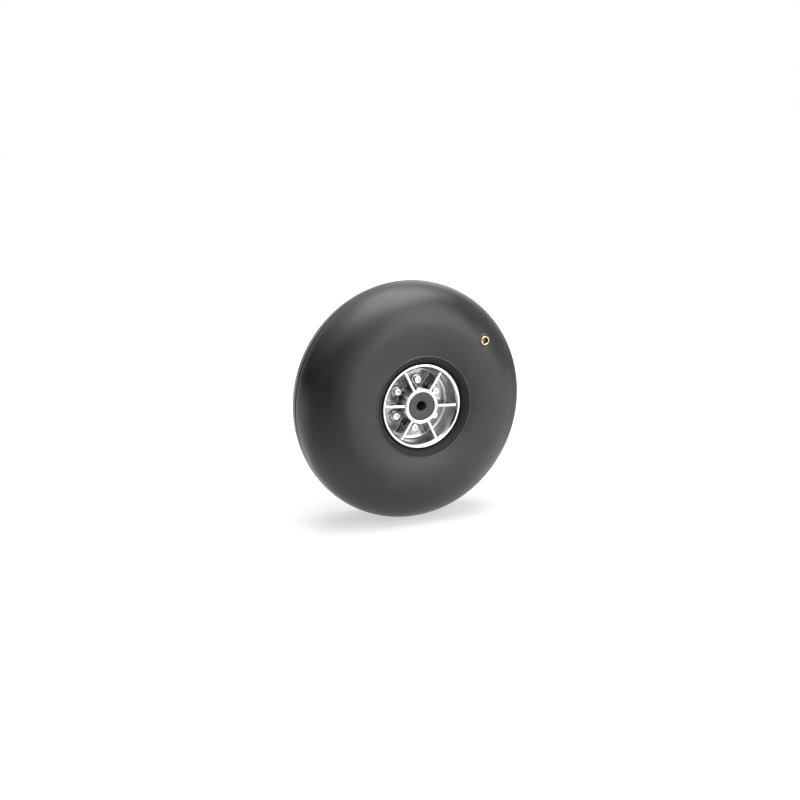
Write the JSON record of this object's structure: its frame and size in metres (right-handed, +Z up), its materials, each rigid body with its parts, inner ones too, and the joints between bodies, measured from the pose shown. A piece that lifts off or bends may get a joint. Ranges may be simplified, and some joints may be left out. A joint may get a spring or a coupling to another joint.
{
  "type": "aircraft wheel",
  "caption": "Inflatable rubber tyre on a ribbed die-cast split hub held by tie screws, with pressed-in axle bushes and a sprung air valve in the sidewall.",
  "frame": {"origin": "centre of the wheel, on the axle's line, midway between the sidewalls", "axes": "+Y along the axle, from the outboard face with the air valve to the inboard face; +Z up as the wheel stands"},
  "size_m": [0.1524, 0.052, 0.1524],
  "materials": {
    "tyre_rubber": "satin moulded rubber, smooth tread",
    "polished_alloy": "bright, polished die casting",
    "grey_plastic": "matte moulded",
    "screw_steel": "bright plated",
    "nut_steel": "zinc plated",
    "valve_brass": "turned, a little tarnished",
    "valve_rubber": "matte",
    "spring_steel": "drawn wire"
  },
  "bodies": {
    "wheel": {"tyre": "tyre_rubber", "outer_hub_half": "polished_alloy", "inner_hub_half": "polished_alloy", "outer_bush": "grey_plastic", "inner_bush": "grey_plastic", "tie_screw_1": "screw_steel", "tie_screw_2": "screw_steel", "tie_screw_3": "screw_steel", "tie_screw_4": "screw_steel", "tie_screw_5": "screw_steel", "tie_screw_6": "screw_steel", "tie_nut_1": "nut_steel", "tie_nut_2": "nut_steel", "tie_nut_3": "nut_steel", "tie_nut_4": "nut_steel", "tie_nut_5": "nut_steel", "tie_nut_6": "nut_steel", "valve_stem": "valve_brass", "valve_core": "valve_brass", "valve_gasket": "valve_rubber", "valve_spring": "spring_steel"},
    "valve_pin": {"valve_pin": "valve_brass", "valve_washer": "valve_rubber"}
  },
  "joints": [
    {"name": "valve_press", "type": "slide", "parent": "wheel", "child": "valve_pin", "axis": [0, 1, 0], "range_m": [0, 0.0012], "stiffness_N_per_m": 200, "springref_m": -0.0012, "deforming": ["valve_spring"]}
  ]
}
